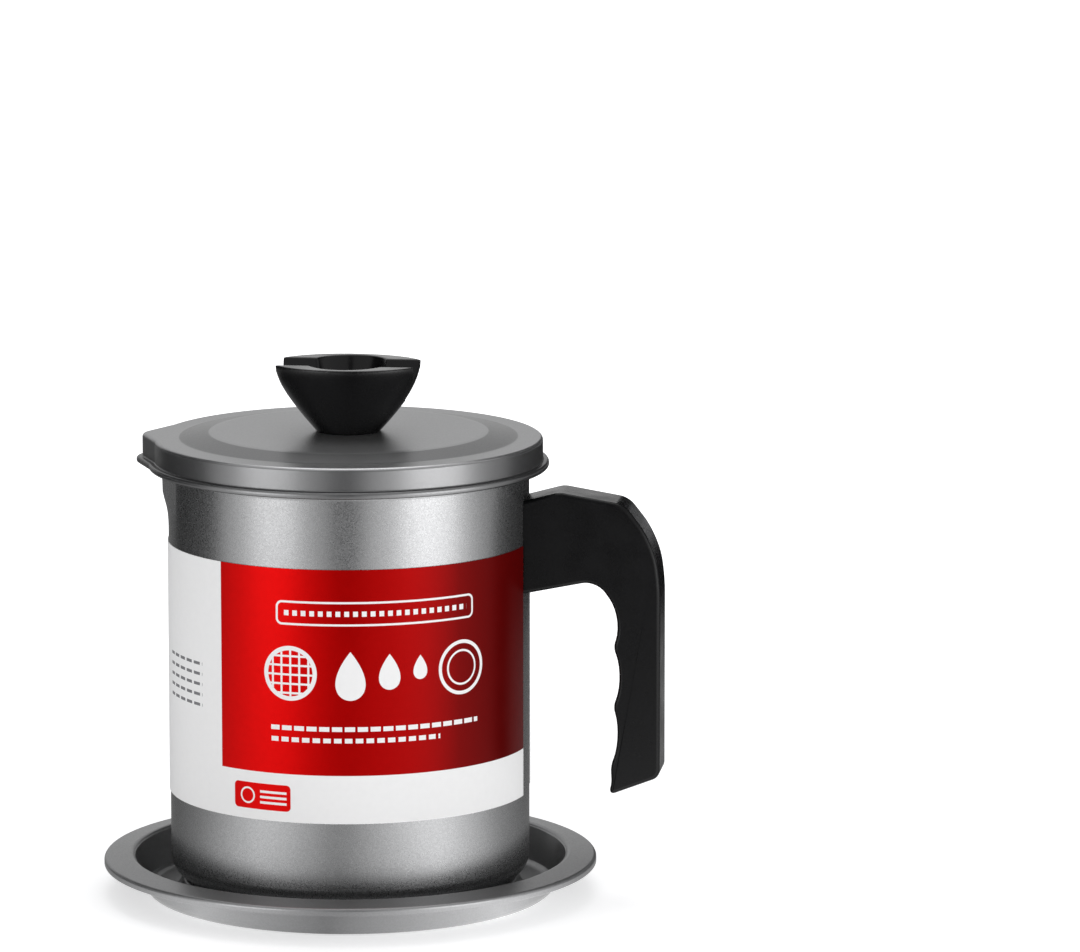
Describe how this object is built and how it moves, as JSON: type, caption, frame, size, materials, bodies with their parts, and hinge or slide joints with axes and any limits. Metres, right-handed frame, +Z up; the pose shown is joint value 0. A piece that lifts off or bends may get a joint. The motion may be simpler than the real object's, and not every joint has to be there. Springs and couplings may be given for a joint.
{
  "type": "grease container",
  "caption": "Round iron pot with a side handle, a strainer and a domed lid with a knob, standing in a wide drip tray.",
  "frame": {"origin": "on the pot's axis, at the lowest face of the drip tray", "axes": "+Z up along the pot's axis, +X towards the handle, -X towards the pouring beaks"},
  "size_m": [0.1962, 0.1726, 0.1871],
  "materials": {
    "tray_coat": "satin grey coating",
    "pot_coat": "metallic grey coating",
    "label_print": "glossy printed wrap, red and white",
    "handle_plastic": "black moulding, soft gloss",
    "bracket_steel": "plain steel",
    "fastener_steel": "zinc-plated steel",
    "strainer_steel": "polished stainless steel",
    "mesh_steel": "woven stainless wire",
    "lid_coat": "satin light grey coating",
    "knob_plastic": "black moulding, soft gloss",
    "insert_brass": "plain brass"
  },
  "bodies": {
    "tray": {"drip_tray": "tray_coat"},
    "pot": {"pot_body": "pot_coat", "label_wrap": "label_print", "pot_handle": "handle_plastic", "handle_bracket": "bracket_steel", "handle_nut": "fastener_steel", "handle_screw": "fastener_steel"},
    "strainer": {"strainer_frame": "strainer_steel", "strainer_mesh": "mesh_steel"},
    "lid": {"lid_shell": "lid_coat", "lid_knob": "knob_plastic", "knob_insert": "insert_brass", "knob_washer": "fastener_steel", "knob_screw": "fastener_steel"}
  },
  "joints": [
    {"name": "pot_lift", "type": "slide", "parent": "tray", "child": "pot", "axis": [0, 0, 1], "range_m": [0, 0.0229]},
    {"name": "strainer_lift", "type": "slide", "parent": "pot", "child": "strainer", "axis": [0, 0, 1], "range_m": [0, 0.045]},
    {"name": "lid_lift", "type": "slide", "parent": "strainer", "child": "lid", "axis": [0, 0, 1], "range_m": [0, 0.045]}
  ]
}
